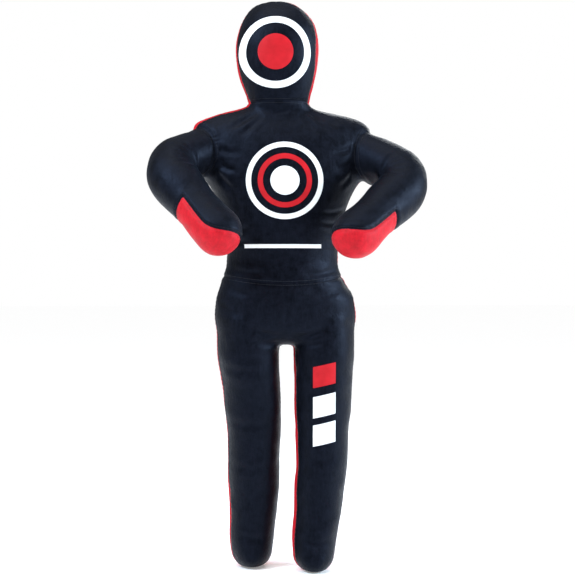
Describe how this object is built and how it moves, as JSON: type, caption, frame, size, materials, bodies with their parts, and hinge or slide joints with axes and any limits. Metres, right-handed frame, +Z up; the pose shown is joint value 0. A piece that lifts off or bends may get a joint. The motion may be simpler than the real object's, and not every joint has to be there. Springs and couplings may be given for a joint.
{
  "type": "stuffed grappling mannequin",
  "caption": "Human-shaped stuffed sparring mannequin with a round face target, bent arms with red palms, jointed limbs and a back zip.",
  "frame": {"origin": "on the floor under the centre of the outer box", "axes": "+Z up along the standing figure, which faces -Y, so that its right side is -X"},
  "size_m": [0.8716, 0.4733, 1.797],
  "materials": {
    "black_cover": "matt brushed suede-like fabric",
    "red_cover": "matt brushed suede-like fabric",
    "white_print": "flat print on fabric",
    "red_print": "flat print on fabric",
    "filling": "packed textile shreds",
    "zip_tape": "woven tape",
    "zip_coil": "satin",
    "zip_metal": "satin"
  },
  "bodies": {
    "pelvis": {"pelvis_front": "black_cover", "pelvis_back": "red_cover", "pelvis_filling": "filling", "waist_section_front": "black_cover", "waist_section_back": "red_cover", "right_hip_section": "black_cover", "left_hip_section": "black_cover"},
    "torso": {"torso_front": "black_cover", "torso_back_right": "red_cover", "torso_back_left": "red_cover", "torso_filling": "filling", "neck_section_front": "black_cover", "neck_section_back": "red_cover", "right_shoulder_section": "black_cover", "left_shoulder_section": "black_cover", "chest_outer_ring": "white_print", "chest_inner_ring": "red_print", "chest_dot": "white_print", "chest_bar": "white_print", "zip_tape_right": "zip_tape", "zip_tape_left": "zip_tape", "zip_coil_right": "zip_coil", "zip_coil_left": "zip_coil", "zip_bottom_stop": "zip_metal"},
    "head": {"hood_front": "black_cover", "hood_back": "red_cover", "head_filling": "filling", "target_ring": "white_print", "target_disc": "red_print"},
    "right_upper_arm": {"right_upper_sleeve": "black_cover", "right_upper_arm_filling": "filling", "right_elbow_section": "black_cover"},
    "right_forearm": {"right_fore_sleeve": "black_cover", "right_palm_panel": "red_cover", "right_forearm_filling": "filling"},
    "left_upper_arm": {"left_upper_sleeve": "black_cover", "left_upper_arm_filling": "filling", "left_elbow_section": "black_cover"},
    "left_forearm": {"left_fore_sleeve": "black_cover", "left_palm_panel": "red_cover", "left_forearm_filling": "filling"},
    "right_thigh": {"right_thigh_front": "black_cover", "right_thigh_back": "red_cover", "right_thigh_filling": "filling", "right_knee_section": "red_cover"},
    "right_shin": {"right_shin_front": "black_cover", "right_shin_back": "red_cover", "right_shin_filling": "filling"},
    "left_thigh": {"left_thigh_front": "black_cover", "left_thigh_back": "red_cover", "left_thigh_filling": "filling", "left_knee_section": "red_cover", "leg_bar_top": "red_print", "leg_bar_middle": "white_print", "leg_bar_bottom": "white_print"},
    "left_shin": {"left_shin_front": "black_cover", "left_shin_back": "red_cover", "left_shin_filling": "filling"},
    "zip_slider": {"zip_slider": "zip_metal"},
    "zip_pull": {"zip_pull": "zip_metal"}
  },
  "joints": [
    {"name": "neck_nod", "type": "hinge", "parent": "torso", "child": "head", "pos_m": [-0.0199, 0.1088, 1.478], "axis": [1, 0, 0], "range_deg": [-18, 28], "deforming": ["neck_section_front", "neck_section_back"]},
    {"name": "waist_bend", "type": "hinge", "parent": "pelvis", "child": "torso", "pos_m": [-0.0069, 0.1258, 0.938], "axis": [1, 0, 0], "range_deg": [-9, 28], "deforming": ["waist_section_front", "waist_section_back"]},
    {"name": "right_shoulder_raise", "type": "hinge", "parent": "torso", "child": "right_upper_arm", "pos_m": [-0.2749, 0.1008, 1.32], "axis": [0, 1, 0], "range_deg": [-9, 42], "deforming": ["right_shoulder_section"]},
    {"name": "right_elbow_bend", "type": "hinge", "parent": "right_upper_arm", "child": "right_forearm", "pos_m": [-0.3598, -0.0036, 1.2577], "axis": [0.1998, -0.6917, 0.694], "range_deg": [-28, 14], "deforming": ["right_elbow_section"]},
    {"name": "left_shoulder_raise", "type": "hinge", "parent": "torso", "child": "left_upper_arm", "pos_m": [0.2611, 0.1008, 1.32], "axis": [0, -1, 0], "range_deg": [-9, 42], "deforming": ["left_shoulder_section"]},
    {"name": "left_elbow_bend", "type": "hinge", "parent": "left_upper_arm", "child": "left_forearm", "pos_m": [0.3604, -0.0061, 1.2232], "axis": [0.0355, 0.7227, -0.6903], "range_deg": [-28, 14], "deforming": ["left_elbow_section"]},
    {"name": "right_hip_bend", "type": "hinge", "parent": "pelvis", "child": "right_thigh", "pos_m": [-0.118, 0.1308, 0.756], "axis": [-1, 0, 0], "range_deg": [-9, 48], "deforming": ["right_hip_section"]},
    {"name": "right_knee_bend", "type": "hinge", "parent": "right_thigh", "child": "right_shin", "pos_m": [-0.102, 0.0822, 0.372], "axis": [1, 0, 0], "range_deg": [0, 68], "deforming": ["right_knee_section"]},
    {"name": "left_hip_bend", "type": "hinge", "parent": "pelvis", "child": "left_thigh", "pos_m": [0.119, 0.1308, 0.756], "axis": [-1, 0, 0], "range_deg": [-9, 48], "deforming": ["left_hip_section"]},
    {"name": "left_knee_bend", "type": "hinge", "parent": "left_thigh", "child": "left_shin", "pos_m": [0.114, 0.0434, 0.372], "axis": [1, 0, 0], "range_deg": [0, 68], "deforming": ["left_knee_section"]},
    {"name": "zip_slide", "type": "slide", "parent": "torso", "child": "zip_slider", "axis": [0, 0, -1], "range_m": [0, 0.198]},
    {"name": "zip_pull_swing", "type": "hinge", "parent": "zip_slider", "child": "zip_pull", "pos_m": [-0.0069, 0.2235, 1.2305], "axis": [1, 0, 0], "range_deg": [0, 90]}
  ]
}
